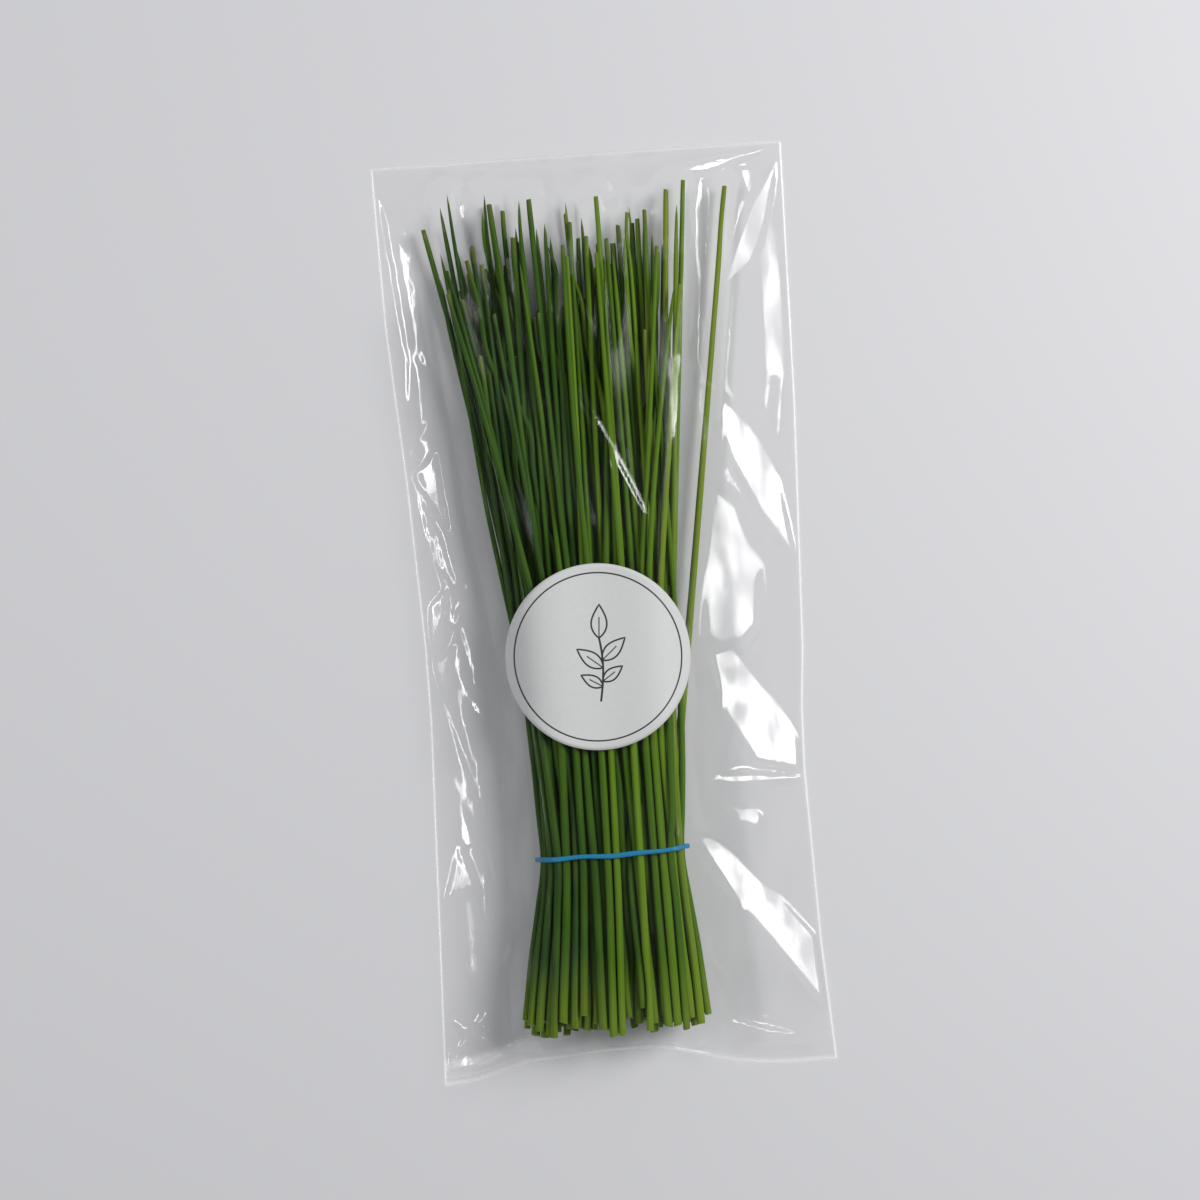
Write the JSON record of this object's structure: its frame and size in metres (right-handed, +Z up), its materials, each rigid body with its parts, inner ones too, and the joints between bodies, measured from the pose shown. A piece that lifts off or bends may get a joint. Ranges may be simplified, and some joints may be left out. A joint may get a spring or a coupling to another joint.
{
  "type": "chive bunch",
  "caption": "Bunch of fresh chives lying on its side, held at the waist by a rubber band, in a clear flat film bag open at the tips, with a round paper label.",
  "frame": {"origin": "on the face the bag rests on, under the middle of the bag", "axes": "+Y from the cut feet of the stems to their tips, along the bag; +X across the bag; +Z up, away from the face it rests on"},
  "size_m": [0.112, 0.251, 0.0226],
  "materials": {
    "clear_film": "clear, glossy, thin",
    "label_paper": "matt white",
    "band_rubber": "matt blue",
    "stem_deep": "dark green, waxy",
    "stem_green": "green, waxy",
    "stem_bright": "yellow-green, waxy"
  },
  "bodies": {
    "root": {"bag": "clear_film", "label": "label_paper", "rubber_band": "band_rubber", "stem_00": "stem_green", "stem_01": "stem_bright", "stem_02": "stem_deep", "stem_03": "stem_bright", "stem_04": "stem_green", "stem_05": "stem_deep", "stem_06": "stem_bright", "stem_07": "stem_deep", "stem_08": "stem_green", "stem_09": "stem_green", "stem_10": "stem_deep", "stem_11": "stem_bright", "stem_12": "stem_deep", "stem_13": "stem_green", "stem_14": "stem_bright", "stem_15": "stem_deep", "stem_16": "stem_bright", "stem_17": "stem_green", "stem_18": "stem_deep", "stem_19": "stem_bright", "stem_20": "stem_deep", "stem_21": "stem_green", "stem_22": "stem_bright", "stem_23": "stem_deep", "stem_24": "stem_bright", "stem_25": "stem_green", "stem_26": "stem_deep", "stem_27": "stem_bright", "stem_28": "stem_deep", "stem_29": "stem_bright", "stem_30": "stem_green", "stem_31": "stem_deep", "stem_32": "stem_bright", "stem_33": "stem_deep", "stem_34": "stem_green", "stem_35": "stem_bright", "stem_36": "stem_deep", "stem_37": "stem_bright", "stem_38": "stem_green", "stem_39": "stem_deep", "stem_40": "stem_bright", "stem_41": "stem_deep", "stem_42": "stem_green", "stem_43": "stem_bright", "stem_44": "stem_deep", "stem_45": "stem_bright", "stem_46": "stem_deep", "stem_47": "stem_green", "stem_48": "stem_bright", "stem_49": "stem_deep", "stem_50": "stem_bright", "stem_51": "stem_green", "stem_52": "stem_deep", "stem_53": "stem_bright", "stem_54": "stem_deep", "stem_55": "stem_green", "stem_56": "stem_bright"}
  },
  "joints": []
}
